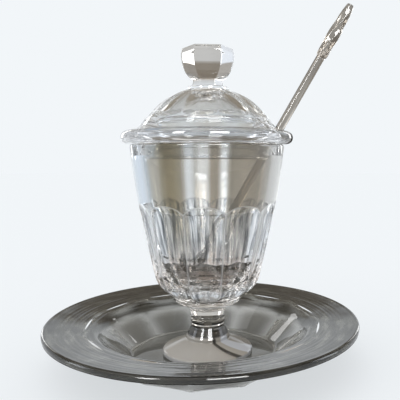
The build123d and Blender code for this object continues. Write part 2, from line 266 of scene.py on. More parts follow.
def flats_round(count, first_edge, crowd=0.9, cells=columns):
    """For each column its azimuth and its angle off the middle of its flat, in radians."""
    half = math.pi / count
    each = cells // count
    j = np.arange(cells + 1)
    within = (j % each) / each * 2 - 1
    eased = (1 - crowd) * within + crowd * np.sin(within * math.pi / 2)
    azimuth = math.radians(first_edge) + (2 * (j // each) + 1 + eased) * half
    return azimuth, eased * half


def blended_least(a, b, width):
    overlap = np.maximum(width - np.abs(a - b), 0) / width
    return np.minimum(a, b) - overlap * overlap * width / 4


def flat_radius(distance, off_middle, count, width=edge_polish):
    """Radius at which a flat, and the next one beside it, lie off the spindle."""
    here = distance / np.cos(off_middle)
    beside = distance / np.cos(2 * math.pi / count - np.abs(off_middle))
    return blended_least(here, beside, width)


def ground(blank, flat, off_middle, count, rows_cut, rows_left, hollow, wear_and_glint_width=0.45):
    """Rows over a part of the blank that is cut, from its start to past the flats' ends.
    blank is its outline, flat that of the flat's middle, hollow the depth that the wheel
    leaves, and the last the width of the edges that are worn and carry a painted highlight.
    Returns radii, heights and the two marks."""
    length = np.concatenate([[0], np.cumsum(np.linalg.norm(np.diff(blank, axis=0), axis=1))])
    fine = np.linspace(0, length[-1], samples)
    blank_r, blank_z = (np.interp(fine, length, blank[:, i]) for i in (0, 1))
    flat = flat[np.argsort(flat[:, 1])]
    distance = np.interp(blank_z, flat[:, 1], flat[:, 0])
    radii, heights, wear_and_glint, cut = (
        np.empty((rows_cut + rows_left + 1, len(off_middle))) for _ in range(4))
    to_end = 1 - (1 - np.linspace(0, 1, rows_cut + 1)) ** crowding
    from_end = np.linspace(0, 1, rows_left + 1)[1:] ** crowding
    for j, off in enumerate(off_middle):
        panel = flat_radius(distance, off, count) - hollow * (1 - (off * count / math.pi) ** 2)
        end = fine[np.nonzero(blank_r > panel)[0][-1]]
        at = np.concatenate([to_end * end, end + from_end * (fine[-1] - end)])
        here_r, here_panel = np.interp(at, fine, blank_r), np.interp(at, fine, panel)
        radii[:, j] = blended_least(here_r, here_panel, edge_polish)
        heights[:, j] = np.interp(at, fine, blank_z)
        depth = here_r - here_panel
        to_next = (math.pi / count - abs(off)) * radii[:, j]
        beside = np.exp(-(to_next / min(wear_and_glint_width, 1)) ** 2) * np.clip(2 * depth / mark_edge + 1, 0, 1)
        wear_and_glint[:, j] = np.maximum(np.exp(-(2 * depth / wear_and_glint_width) ** 2), beside)
        cut[:, j] = np.clip(depth / mark_edge + 0.5, 0, 1)
    return radii, heights, wear_and_glint, cut


def marked(parts, which, wear_and_glint, cut):
    """The marks of a whole sheet: 0 but in the part of it that is cut."""
    plain = [np.zeros_like(radii) for radii, _ in parts]
    return {title: np.vstack(plain[:which] + [values] + plain[which + 1:])
            for title, values in (("wear_and_glint", wear_and_glint), ("cut", cut))}


def round_rows(rows):
    """Plain turned rows: the same radius and height all round."""
    return tuple(np.repeat(rows[:, i:i + 1], columns + 1, axis=1) for i in (0, 1))


def on_spindle(parts, azimuth, shift=(0, 0, 0)):
    """Places in space from rows of radii and heights; azimuth is one list or one per row."""
    radii, heights = (np.vstack(rows) for rows in zip(*parts))
    return np.stack([
        radii * np.cos(azimuth) + shift[0],
        radii * np.sin(azimuth) + shift[1],
        heights + shift[2],
    ], axis=-1)


# %% [markdown]
# ## The saucer
# A deep well in a wide brim. Only the back of the well is ground: eleven flats with
# arched heads. From above they show through the glass as a ring of petals, so the front
# stays quite plain. The sheet goes from the middle of the base out over the flats and
# under the brim, round its edge, and back to the middle of the well.

# %% The saucer
panels = 11
overcut = 0.15                   # flats are ground this far past where they would just meet
flat_share = math.cos(math.pi / panels)

saucer_r, saucer_h = boxes["saucer"][1][0], 19.5
brim_t = 2.6
brim_round = 0.45 * brim_t
base_r, base_edge = 38.0, 0.6
floor_t, floor_round = 2.8, 4.0
well_floor_r, well_round = 33.0, 5.0
well_mouth_r, well_mouth_h = 48.0, 16.2
well_back_r, well_back_h = 50.0, 12.4
well_arch_h, well_wheel_r = 6.2, 14.0
well_plain_h = well_back_h + 2.5  # above this height the rows are plain turned ones
well_turn = -60.0


def make_saucer():
    azimuth, off = flats_round(panels, well_turn)
    slope = (well_back_r - base_r) / well_back_h
    inset = flat_share - overcut / base_r
    foot = (base_r * inset, 0)
    head = ((base_r + slope * well_arch_h) * inset, well_arch_h)
    flat = np.array([foot, head] + run_out(head, (head[0] - foot[0], head[1]), well_wheel_r))
    back = cornered([
        (base_r, 0, 0),
        (well_back_r, well_back_h, well_round),
        (saucer_r, saucer_h - brim_t, 0),
    ])
    past = np.nonzero(back[:, 1] > well_plain_h)[0][0]
    cut_r, cut_z, wear_and_glint, cut = ground(
        back[:past + 1], flat, off, panels, rows_cut=40, rows_left=14, hollow=0.7, wear_and_glint_width=2.6)
    low = np.clip(1 - cut_z / base_edge, 0, 1)
    cut_r = cut_r - base_edge * (1 - np.sqrt(1 - low * low))
    shares = np.array([0, 0.15, 0.3, 0.45, 0.6, 0.75, 0.88, 0.96, 0.99])[:, None]
    base = (shares * cut_r[0], np.zeros((len(shares), columns + 1)))
    rest = cornered([
        (*back[past], 0),
        (saucer_r, saucer_h - brim_t, brim_round),
        (saucer_r, saucer_h, brim_round),
        (well_mouth_r, well_mouth_h, well_round),
        (well_floor_r, floor_t, floor_round),
        (0, floor_t, 0),
    ])
    parts = [base, (cut_r, cut_z), round_rows(rest[1:])]
    return sheet_of_cells("saucer_glass", on_spindle(parts, azimuth), marked(parts, 1, wear_and_glint, cut))


saucer = make_saucer()

# %% [markdown]
# ## The pot
# Foot, collar, stem, disc and bowl are joined hot, as one piece of glass, so they are one
# sheet here. The bowl's eleven flats begin at the disc, follow its round underside, and
# end in arches two thirds of the way up. Above them the wall is plain and thick, with a
# bevel inside the mouth for the lid. Heights are above the foot's own bottom.

# %% Sizes of the pot
pot_low, pot_high = boxes["pot"]
pot_axis = ((pot_low[0] + pot_high[0]) / 2, (pot_low[1] + pot_high[1]) / 2)
foot_z = pot_low[2]
pot_h = pot_high[2] - foot_z
foot_r, foot_edge_h, foot_hollow, foot_ring_w = 20.4, 2.2, 1.0, 3.4
collar_r, collar_h, collar_t = 9.8, 6.5, 1.3
waist_r, waist_h = 7.2, 12.6
band_r, band_h, band_t, ledge_w = 7.7, 13.8, 3.4, 0.4
flare_r, flare_h = 8.3, 20.4
disc_r, disc_h, disc_t, disc_edge = 14.7, 23.2, 2.7, 1.2
disc_top_h = disc_h + disc_t
bowl_foot_r = 13.8
shoulder_r, shoulder_h, knee_h = 24.2, 35.5, 27.6
rim_r, rim_round_h, side_swell = 35.2, 1.6, 0.95
wall_t, lip_h, lip_w = 5.0, 4.6, 1.95
bowl_floor_h, bowl_floor_r, bowl_corner_h = 32.9, 11.5, 11.0
bowl_arch_h, bowl_wheel_r, bowl_turn = 62.8, 10.5, -137.0
bowl_plain_h = bowl_arch_h + 8


def side_radius(height):
    t = (height - shoulder_h) / (pot_h - shoulder_h)
    return shoulder_r + (rim_r - shoulder_r) * t + 4 * side_swell * t * (1 - t)


def side_slope(height):
    t = (height - shoulder_h) / (pot_h - shoulder_h)
    return (rim_r - shoulder_r + 4 * side_swell * (1 - 2 * t)) / (pot_h - shoulder_h)


def side_rows(low, high, steps, inset=0.0):
    heights = np.linspace(low, high, steps + 1)
    return np.array([(side_radius(h) - inset, h) for h in heights])


lip_low = pot_h - lip_h
mouth_r = side_radius(lip_low) - wall_t + lip_w
print("mouth of the pot", round(2 * mouth_r, 1), "mm across, inside the bevel")


# %% The pot
def cut_bowl(off):
    """The outside of the bowl, from the disc to where no flat reaches."""
    knee_r = shoulder_r - side_slope(shoulder_h) * (shoulder_h - knee_h)
    under = curve([(bowl_foot_r, disc_top_h), (knee_r, knee_h), (shoulder_r, shoulder_h)], 40)
    blank = np.vstack([under, side_rows(shoulder_h, bowl_plain_h, 60)[1:]])
    inset = flat_share - overcut / shoulder_r
    flat = np.vstack([under, side_rows(shoulder_h, bowl_arch_h, 60)[1:]]) * (inset, 1)
    flat = np.vstack([flat, run_out(flat[-1], flat[-1] - flat[-2], bowl_wheel_r)])
    return ground(blank, flat, off, panels, rows_cut=90, rows_left=16, hollow=0.55)


def plain_bowl():
    """The plain band, the rim, and the inside down to the middle of the bowl's floor."""
    plain = side_rows(bowl_plain_h, pot_h - rim_round_h, 14)
    inside_top = lip_low - rim_round_h
    rim = cornered([
        (side_radius(pot_h - rim_round_h), pot_h - rim_round_h, 0),
        (rim_r, pot_h, 1.1),
        (mouth_r, pot_h, 0.6),
        (side_radius(lip_low) - wall_t, lip_low, 1.5),
        (side_radius(inside_top) - wall_t, inside_top, 0),
    ])
    corner_top = bowl_floor_h + bowl_corner_h
    inside = side_rows(corner_top, inside_top, 24, wall_t)[::-1]
    corner_r = side_radius(corner_top) - wall_t
    corner = curve([
        (corner_r, corner_top),
        (corner_r - side_slope(corner_top) * bowl_corner_h, bowl_floor_h),
        (bowl_floor_r, bowl_floor_h),
    ], 30)
    shares = (0.98, 0.8, 0.6, 0.4, 0.2, 0)
    floor = np.array([(bowl_floor_r * share, bowl_floor_h) for share in shares])
    return np.vstack([plain[1:], rim[1:], inside[1:], corner[1:], floor])


def make_pot():
    azimuth, off = flats_round(panels, bowl_turn)
    stand = cornered([
        (0, foot_hollow, 0),
        (foot_r - foot_ring_w, 0, 1.0),
        (foot_r, 0, 0.8),
        (foot_r, foot_edge_h, 1.0),
        (collar_r, collar_h, 0.5),
        (collar_r, collar_h + collar_t, 0.5),
        (waist_r, waist_h, 1.5),
        (band_r, band_h, 0.4),
        (band_r, band_h + band_t, 0.4),
        (band_r - ledge_w, band_h + band_t, 0.1),
        (flare_r, flare_h, 2.0),
        (disc_r - disc_edge, disc_h, 0.4),
        (disc_r, disc_h + disc_edge / 3, 0.85),
        (disc_r, disc_top_h, 0.85),
        (bowl_foot_r, disc_top_h, 0),
    ])
    *bowl, wear_and_glint, cut = cut_bowl(off)
    parts = [round_rows(stand[:-1]), bowl, round_rows(plain_bowl())]
    place = on_spindle(parts, azimuth, (*pot_axis, foot_z))
    return sheet_of_cells("pot_glass", place, marked(parts, 1, wear_and_glint, cut))


pot = make_pot()

# %% [markdown]
# ## The lid
# A dome with a rounded flange, like a bead, and below it a ring that keeps the lid in the
# mouth. The dome's flats radiate from the collar and end in round heads. The knob is
# six-sided and thick, and its flats don't line up with those of the dome, so the columns
# of cells turn a little on their way from one to the other. Heights are above the flange.

# %% Sizes of the lid
flange_z = pot_high[2] + 0.3
bead_r, bead_t = 39.0, 5.6
dome_r, dome_h = 31.2, 7.6
dome_foot_in, dome_foot_up = 4.9, 5.9
dome_crown_out, dome_crown_down = 13.0, 3.55
seam_w, seam_h = 2.2, 0.2
crown_r, crown_h, crown_t = 9.8, 25.9, 1.3
crown_low_h = crown_h - crown_t
dome_inside_r, dome_inside_h, hollow_side, hollow_top = 24.6, 21.6, 0.45, 0.72
spigot_t, spigot_h, spigot_draft, spigot_gap = 4.0, 6.7, 0.3, 0.5
spigot_r = side_radius(lip_low) - wall_t - spigot_gap
dome_start, dome_wheel_r, lid_turn = 0.36, 11.0, -76.0
knob_sides, knob_polish = 6, 0.3
neck_r, neck_top_r, neck_h, knob_under = 7.3, 6.6, 3.6, 0.4
knob_low_r, knob_r, knob_top_r = 7.2, 12.3, 11.6
knob_h, knob_waist_h, knob_belly_in, knob_belly_h = 14.3, 10.8, 1.8, 3.7
knob_turn = -115.2
knob_low_h = crown_h + neck_h
knob_top_h = knob_low_h + knob_h
print("lid", knob_top_h, "mm high, with a ring", round(2 * spigot_r, 1), "mm across")


# %% Underside and dome of the lid
def under_lid():
    """The hollow of the dome, and from there over the locating ring and the bead."""
    hollow = curve([
        (0, dome_inside_h),
        (hollow_top * dome_inside_r, dome_inside_h),
        (dome_inside_r, hollow_side * dome_inside_h),
        (dome_inside_r, 0),
    ], 60)
    ring = cornered([
        (*hollow[-2], 0),
        (dome_inside_r, 0, 1.0),
        (spigot_r - spigot_t, -spigot_h, 1.2),
        (spigot_r - spigot_draft, -spigot_h, 1.2),
        (spigot_r, 0, 0.4),
        (bead_r, 0, 0.49 * bead_t),
        (bead_r, bead_t, 0.49 * bead_t),
        (dome_r + seam_w, bead_t + seam_h, 1.2),
        (dome_r, dome_h, 0),
    ])
    return round_rows(hollow[:-2]), round_rows(ring[:-1])


def cut_dome(off):
    """The dome is ground from its crown down, so its rows are turned round at the end."""
    dome = [
        (dome_r, dome_h),
        (dome_r - dome_foot_in, dome_h + dome_foot_up),
        (crown_r + dome_crown_out, crown_low_h - dome_crown_down),
        (crown_r, crown_low_h),
    ]
    inset = flat_share - overcut / dome_r
    face = curve(rest_of_curve(dome, dome_start), 80) * (inset, 1)
    flat = np.vstack([face, run_out(face[0], face[0] - face[1], dome_wheel_r)])
    rows = ground(
        curve(dome, 120)[::-1], flat, off, panels, rows_cut=60, rows_left=16, hollow=0.35)
    return [part[::-1] for part in rows]


# %% Knob of the lid
def through(points, first_way, last_way, steps):
    """Rows along a smooth curve through the points, with its ways in and out given."""
    points = [np.array(p, float) for p in points]
    ways = [first_way] + [b - a for a, b in zip(points, points[2:])] + [last_way]
    ways = [np.array(way, float) / np.linalg.norm(way) for way in ways]
    rows = []
    for a, b, into, out in zip(points, points[1:], ways, ways[1:]):
        reach = np.linalg.norm(b - a) / 3
        rows += list(curve([a, a + into * reach, b - out * reach, b], steps)[:-1])
    return np.array(rows + [points[-1]])


def knob_rows():
    """The knob's outline over its corners, with the neck below it."""
    sides = through([
        (knob_low_r, knob_low_h),
        (knob_r - knob_belly_in, knob_low_h + knob_belly_h),
        (knob_r, knob_low_h + knob_waist_h),
        (knob_top_r, knob_top_h),
    ], (1, 0.6), (-0.28, 1), 10)
    over = cornered([
        (*sides[-2], 0),
        (knob_top_r, knob_top_h, 0.35),
        (knob_top_r * 0.5, knob_top_h, 0),
        (0, knob_top_h, 0),
    ])
    neck = cornered([
        (neck_r, crown_h, 0),
        (neck_top_r, knob_low_h - knob_under, 0.5),
        (knob_low_r, knob_low_h, 0.15),
        (*sides[1], 0),
    ])
    return np.vstack([neck[:-1], sides[1:-1], over[1:]])


def knob_columns():
    """The knob's azimuths and angles, counted from the column nearest to the dome's first."""
    first = knob_turn + 360 / knob_sides
    azimuth, off = flats_round(knob_sides, first, 0.8)
    index = np.arange(columns + 1) - round((first - lid_turn) / 360 * columns)
    return azimuth[index % columns] + 2 * math.pi * (index // columns), off[index % columns]


def make_lid():
    dome_azimuth, dome_off = flats_round(panels, lid_turn)
    knob_azimuth, knob_off = knob_columns()
    *dome, wear_and_glint, cut = cut_dome(dome_off)
    collar = cornered([
        (crown_r - 0.35, crown_low_h, 0),
        (crown_r, crown_low_h, 0.15),
        (crown_r, crown_h, 0.5),
        (neck_r + 0.9, crown_h, 0),
    ])
    rows = knob_rows()
    distance = rows[:, :1] * math.cos(math.pi / knob_sides)
    knob = (flat_radius(distance, knob_off, knob_sides, knob_polish), round_rows(rows)[1])
    parts = [*under_lid(), dome, round_rows(collar), knob]
    counts = [len(radii) for radii, _ in parts]
    turned = [np.zeros(sum(counts[:3])), np.linspace(0, 1, counts[3]), np.ones(counts[4])]
    turned = np.concatenate(turned)[:, None]
    azimuth = dome_azimuth + (knob_azimuth - dome_azimuth) * turned
    place = on_spindle(parts, azimuth, (*pot_axis, flange_z))
    return sheet_of_cells("lid_glass", place, marked(parts, 2, wear_and_glint, cut))


lid = make_lid()
print("knob top at", round(max(v.co.z for v in lid.data.vertices) / mm, 2), "mm")

# %% [markdown]
# ## The spoon's line
# The spoon leans out at 30 degrees. Its shaft rests against the bevel in the pot's mouth,
# and its scoop, bent a little flatter, rests in the round corner at the bottom of the
# bowl. Everything about it, and the notch for it, is drawn in the plane that it leans in:
# how far out, how far aside, and how high. That is surer than to tilt both afterwards.

# %% The plane of the lean
shaft_r = 1.95
shaft_gap = 0.3                  # between the shaft and the edge of the bevel
spoon_turn, lean, bend = math.radians(-9.0), math.radians(30.2), math.radians(23.5)
bend_r, bend_below_rim = 9.0, 50.31
scoop_l, scoop_w, scoop_d, scoop_t = 25.4, 13.6, 5.8, 1.9

up_shaft = np.array([math.sin(lean), math.cos(lean)])
down_scoop = -np.array([math.sin(lean + bend), math.cos(lean + bend)])
scoop_up = np.array([down_scoop[1], -down_scoop[0]])
off_edge = shaft_r + shaft_gap
at_rim = np.array([mouth_r - off_edge * up_shaft[1], pot_high[2] + off_edge * up_shaft[0]])
bend_corner = at_rim - up_shaft * bend_below_rim
bend_tangent = bend_r * math.tan(bend / 2)
print("the shaft passes the rim", round(at_rim[0], 1), "mm off the pot's axis")


def in_frame(out, aside, up):
    """Places in space from distances out, to the side and up in the plane of the lean."""
    c, s = math.cos(spoon_turn), math.sin(spoon_turn)
    return np.stack([
        pot_axis[0] + out * c - aside * s,
        pot_axis[1] + out * s + aside * c,
        up + 0 * out,
    ], axis=-1)


def across(centre, way, x, y):
    """Places in the plane square to a way at a centre: x to the outer side, y aside."""
    return in_frame(centre[..., 0] + x * way[..., 1], y, centre[..., 1] - x * way[..., 0])


# %% [markdown]
# ## The notch
# The lid has to come off while the spoon stands in the pot, so a notch goes through its
# flange and its ring. It is sawn along the line of the shaft, and its back is flat with
# two small round corners. It crosses the sheet's cells at a slant, so it is the one place
# where a boolean modifier is the better tool: a bar is taken away from the lid.

# %% The notch
notch_w, notch_back, notch_corner = 8.6, 2.2, 1.6
corner_step = 11.25              # degrees of the notch's round corners for each point


def boolean(piece, other, operation):
    nothing_selected()
    bpy.context.view_layer.objects.active = piece
    piece.select_set(True)
    change = piece.modifiers.new(operation.lower(), "BOOLEAN")
    change.object, change.operation, change.solver = other, operation, "EXACT"
    bpy.ops.object.modifier_apply(modifier=change.name)
    bpy.data.objects.remove(other)
    welded(piece)


def notch_cutter():
    """A bar along the line of the shaft: flat at its back, with two round corners."""
    back, half, far = -shaft_r - notch_back, notch_w / 2, 2 * bead_r
    outline = [(far, -half)]
    for corner, side in enumerate((-1, 1)):
        centre = (back + notch_corner, side * (half - notch_corner))
        for k in range(9):
            angle = math.radians(-90 - 90 * corner - corner_step * k)
            outline.append((centre[0] + notch_corner * math.cos(angle),
                            centre[1] + notch_corner * math.sin(angle)))
    outline = np.array(outline + [(far, half), (far, -half)])
    foot = at_rim - up_shaft * (spigot_h + 2) / up_shaft[1]
    head = foot + up_shaft * 2 * (spigot_h + dome_h)
    middle = outline.mean(axis=0)
    place = [across(end, up_shaft, *(middle + (outline - middle) * share).T)
             for end, share in ((foot, 0), (foot, 1), (head, 1), (head, 0))]
    return sheet_of_cells("notch", np.array(place))


boolean(lid, notch_cutter(), "DIFFERENCE")

# %% [markdown]
# ## Shaft and grip
# The shaft is a drawn rod. At the grip it swells over a round shoulder, and from there up
# it is six-sided and twisted by 150 degrees, so that its edges run up like a slow screw.
# A screw modifier would twist it, but couldn't also swell and taper it. In the sheet each
# row has its own middle, way, turn and hexagon. Two marks, "lit" and "shaded", are 1 along
# the rod's outer and its inner side, where a painted highlight and painted shade go.

# %% Shaft and grip
side_columns = 96                # round the spoon
rod_steps, bend_steps = 24, 12
grip_sides, grip_polish = 6, 0.35
grip_l, grip_above_rim = 26.0, 43.5
grip_root_r, grip_r, grip_full, grip_tip_r = 2.5, 2.95, 0.35, 1.7
grip_shoulder, grip_tip = 1.3, 0.5
grip_twist = math.radians(150.0)
around_spoon, off_spoon = flats_round(grip_sides, 0, 0.8, side_columns)


def grip_radius(share):
    swell = math.sin(math.pi / 2 * min(share / grip_full, 1))
    draw_in = max(share - grip_full, 0) / (1 - grip_full)
    fullest = grip_root_r + (grip_r - grip_root_r) * swell
    return fullest - (grip_r - grip_tip_r) * draw_in ** 2


def grip_hexagons():
    """Distances along the grip, and the hexagon at each of them."""
    quarter = math.pi / 2
    along = np.concatenate([
        grip_shoulder * (1 - np.cos(np.linspace(0, quarter, 9)[1:])),
        np.linspace(grip_shoulder, grip_l - grip_tip, 90)[1:],
        grip_l - grip_tip + grip_tip * np.sin(np.linspace(0, quarter, 7)[1:]),
    ])
    hexagons = []
    for at in along:
        distance = grip_radius(at / grip_l) * math.cos(math.pi / grip_sides)
        hexagon = flat_radius(distance, off_spoon, grip_sides, grip_polish)
        if at < grip_shoulder:
            rise = math.sqrt(1 - (1 - at / grip_shoulder) ** 2)
            hexagon = shaft_r + (hexagon - shaft_r) * rise
        if at > grip_l - grip_tip:
            left = 1 - ((at - grip_l + grip_tip) / grip_tip) ** 2
            hexagon = hexagon - grip_tip * (1 - math.sqrt(max(left, 0)))
        hexagons.append(hexagon)
    closing = (0.9, 0.45, 0)     # the last rows close the tip
    hexagons += [hexagons[-1] * share for share in closing]
    return np.concatenate([along, [grip_l] * len(closing)]), hexagons


def make_shaft():
    root = bend_corner + down_scoop * (bend_tangent + 1.5 * scoop_t)
    rows = [(root, -down_scoop, 0), (root, -down_scoop, 1)]
    inward = np.array([-up_shaft[1], up_shaft[0]])
    centre = bend_corner + up_shaft * bend_tangent + bend_r * inward
    for k in range(bend_steps + 1):
        turn = lean + bend * (1 - k / bend_steps)
        way = np.array([math.sin(turn), math.cos(turn)])
        rows.append((centre + bend_r * np.array([way[1], -way[0]]), way, 1))
    grip_start = at_rim + up_shaft * grip_above_rim
    first = rows[-1][0]
    for k in range(1, rod_steps + 1):
        rows.append((first + (grip_start - first) * k / rod_steps, up_shaft, 1))
    centres, ways, shares = (np.array(part, float) for part in zip(*rows))
    radii = np.repeat(shares[:, None] * shaft_r, side_columns + 1, axis=1)
    along, hexagons = grip_hexagons()
    centres = np.vstack([centres, grip_start + up_shaft * along[:, None]])[:, None, :]
    ways = np.vstack([ways, np.repeat(up_shaft[None, :], len(along), axis=0)])[:, None, :]
    radii = np.vstack([radii, hexagons])
    turns = np.concatenate([np.zeros(len(rows)), grip_twist * along / grip_l])
    angle = around_spoon + turns[:, None]
    place = across(centres, ways, radii * np.cos(angle), radii * np.sin(angle))
    on_rod = (radii > 0.98 * shaft_r) & (radii < 1.02 * shaft_r)
    # lit and shaded are masks for a painted highlight and painted shade along the rod
    sides = {"lit": np.clip((np.cos(angle) - 0.5) / 0.3, 0, 1) * on_rod,
             "shaded": np.clip((-np.cos(angle) - 0.7) / 0.2, 0, 1) * on_rod}
    return sheet_of_cells("spoon_glass", place, sides)


spoon = make_shaft()

# %% [markdown]
# ## The scoop
# The scoop is half of an egg, hollowed by a smaller one, and its rim is round. The end of
# the shaft is first cut back to just inside the wall, and then both become one piece, so
# that no wall of glass is left inside the glass.

# %% The scoop
scoop_rim = 0.45 * scoop_t       # height of the rim's round
shaft_bite = 0.8                 # how deep the shaft's end stays in the scoop's wall


def egg(length, width, depth, steps, whole=False):
    """Rows from the bottom of an egg to its rim, or on to its top where it is whole: half
    its length and width there, and heights."""
    round_r = (width * width / 4 + depth * depth) / (2 * depth)
    rise = round_r - depth
    edge = math.acos(rise / round_r)
    angle = np.linspace(0, edge, steps + 1)
    if whole:
        angle = np.concatenate([angle, np.linspace(edge, math.pi, steps + 1)[1:]])
    share = np.sin(angle) / math.sin(edge)
    return share[:, None] * (length / 2, width / 2), rise - round_r * np.cos(angle)


def scoop_place(sizes, heights):
    angle = np.linspace(0, 2 * math.pi, side_columns + 1)
    middle = bend_corner + down_scoop * (bend_tangent + scoop_l / 2)
    x = sizes[:, :1] * np.cos(angle)
    y = sizes[:, 1:] * np.sin(angle)
    z = heights[:, None]
    out = middle[0] - x * down_scoop[0] + z * scoop_up[0]
    return in_frame(out, y, middle[1] - x * down_scoop[1] + z * scoop_up[1])


def make_scoop():
    outside, low = egg(scoop_l, scoop_w, scoop_d, 30)
    inside, high = egg(scoop_l - 2 * scoop_t, scoop_w - 2 * scoop_t, scoop_d - scoop_t, 26)
    angle = np.linspace(0, math.pi, 13)
    inset = scoop_t / 2 * (1 - np.cos(angle))[:, None]
    rim = np.array([scoop_l / 2, scoop_w / 2]) - inset
    below_rim = -scoop_rim - 0.05
    keep_out, keep_in = low < below_rim, high < below_rim
    sizes = np.vstack([outside[keep_out], rim, inside[keep_in][::-1]])
    heights = np.concatenate([
        low[keep_out], scoop_rim * (np.sin(angle) - 1), high[keep_in][::-1]])
    return sheet_of_cells("scoop", scoop_place(sizes, heights))


def scoop_room():
    """A whole egg, a little larger than the hollow, that the end of the shaft is cut by."""
    grown = scoop_t - shaft_bite
    room = egg(scoop_l - 2 * grown, scoop_w - 2 * grown, scoop_d - grown, 24, whole=True)
    return sheet_of_cells("room", scoop_place(*room))


boolean(spoon, scoop_room(), "DIFFERENCE")
boolean(spoon, make_scoop(), "UNION")

# %% [markdown]
# ## Who carries what
# Each piece of glass rides on its own part of the frame and is shown in place of the
# plainer solid, which stays behind to be bumped into.

# %% Ride and replace
for piece, solid in ((saucer, "saucer"), (pot, "pot"), (lid, "lid"), (spoon, "spoon")):
    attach(piece, solid)
    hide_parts(solid)
    print(piece.name, "rides on", solid)

# %% [markdown]
# ## The crystal
# This is lead crystal, cut on a wheel and polished. It bends light more than window glass
# does, with an index of 1.545, so its edges sparkle. The real pot mirrors a darker room
# than this one, and is a little smoky, so each piece has tones of its own, in Base Color:
# what is left of the light after each passage through a wall. Many of these tones are
# painted reflections of that darker room, and painted highlights and shade.
#
# Hand-made glass is never quite even. Slow waves, some 17 mm long, bend what shows through
# it, and a weak bump stands for them. Where it was turned, it has fine rings as well, and
# the edges of the flats are painted white: partly wear, and partly a painted highlight.

# %% Colours and nodes
def linear(code):
    parts = [int(code[i:i + 2], 16) / 255 for i in (1, 3, 5)]
    return [p / 12.92 if p <= 0.04045 else ((p + 0.055) / 1.055) ** 2.4 for p in parts] + [1]


def node(tree, kind, *values, out=0, stops=(), runs="EASE", **more):
    """Adds a node and gives one of its outputs. The values go to its inputs in turn. In
    more, a capital name or _ and a number is another input, and a small name a setting. An
    input takes a socket, a number or a colour code. Stops are a colour ramp's."""
    made = tree.nodes.new("ShaderNode" + kind)
    inputs = dict(enumerate(values))
    for name, value in more.items():
        if name[0].islower():
            setattr(made, name, value)
        else:
            inputs[int(name[1:]) if name[0] == "_" else name] = value
    for name, value in inputs.items():
        if isinstance(value, bpy.types.NodeSocket):
            tree.links.new(value, made.inputs[name])
        else:
            made.inputs[name].default_value = linear(value) if isinstance(value, str) else value
    if stops:
        made.color_ramp.interpolation = runs
        while len(made.color_ramp.elements) < len(stops):
            made.color_ramp.elements.new(0.5)
        for element, (place, code) in zip(made.color_ramp.elements, stops):
            element.position, element.color = place, linear(code)
    return made.outputs[out]


times, times_plus = {"operation": "MULTIPLY"}, {"operation": "MULTIPLY_ADD"}
minus, larger = {"operation": "SUBTRACT"}, {"operation": "MAXIMUM"}
# the edge mark places wear and a painted highlight along the edges of the flats
wear_and_glint_mark, cut_mark, lit_mark, shaded_mark = (
    {"attribute_name": title, "out": "Fac"} for title in ("wear_and_glint", "cut", "lit", "shaded"))


def within(tree, value, rise, fall):
    """1 from where a value has risen past one stretch until it comes to the other, and 0
    outside. Both are in millimetres."""
    since = node(tree, "MapRange", value, rise[0] * mm, rise[1] * mm)
    until = node(tree, "MapRange", value, fall[0] * mm, fall[1] * mm, 1.0, 0.0)
    return node(tree, "Math", since, until, **times)


def laid_over(tree, share, below, above, start=None, end=None):
    """One tone over another, as strongly as share says. With a start and an end, share is
    a place, and the tone changes between them."""
    if start is not None:
        share = node(tree, "MapRange", share, start, end)
    return node(tree, "Mix", share, _6=below, _7=above, data_type="RGBA", out=2)


def drifting(tree, at, darker_tone, clear, apart=26.3):
    """A tone that drifts, with clouds some millimetres apart."""
    drift = node(tree, "TexNoise", Vector=at["place"], Scale=1 / (apart * mm), Detail=2.0)
    return node(tree, "ValToRGB", drift, stops=[(0.3, darker_tone), (0.7, clear)])


def off_axis(tree, centre):
    """Where a point is, round an upright axis: its azimuth, distance and height."""
    place = node(tree, "TexCoord", out="Object")
    from_axis = node(tree, "VectorMath", place, (centre[0] * mm, centre[1] * mm, 0), **minus)
    apart = node(tree, "SeparateXYZ", from_axis).node.outputs
    level = node(tree, "VectorMath", from_axis, (1, 1, 0), **times)
    return {
        "place": place,
        "azimuth": node(tree, "Math", apart["Y"], apart["X"], operation="ARCTAN2"),
        "distance": node(tree, "VectorMath", level, operation="LENGTH", out="Value"),
        "height": apart["Z"],
    }


# %% Waves and clear glass
waves_apart = 16.67


def waves(tree, at, rings):
    """Slow waves, and between two heights the rings that the turning left as well."""
    height = node(tree, "TexNoise", Vector=at["place"], Scale=1 / (waves_apart * mm), Detail=1.0)
    if rings:
        strength, apart, low, high = rings
        ring = node(tree, "TexNoise", W=at["distance"], Scale=1 / (apart * mm), Detail=1.0,
                    noise_dimensions="1D")
        where = within(tree, at["height"], (low, low + 3), (high, high + 4))
        strong = node(tree, "Math", where, strength, **times)
        height = node(tree, "Math", ring, strong, height, **times_plus)
    return height


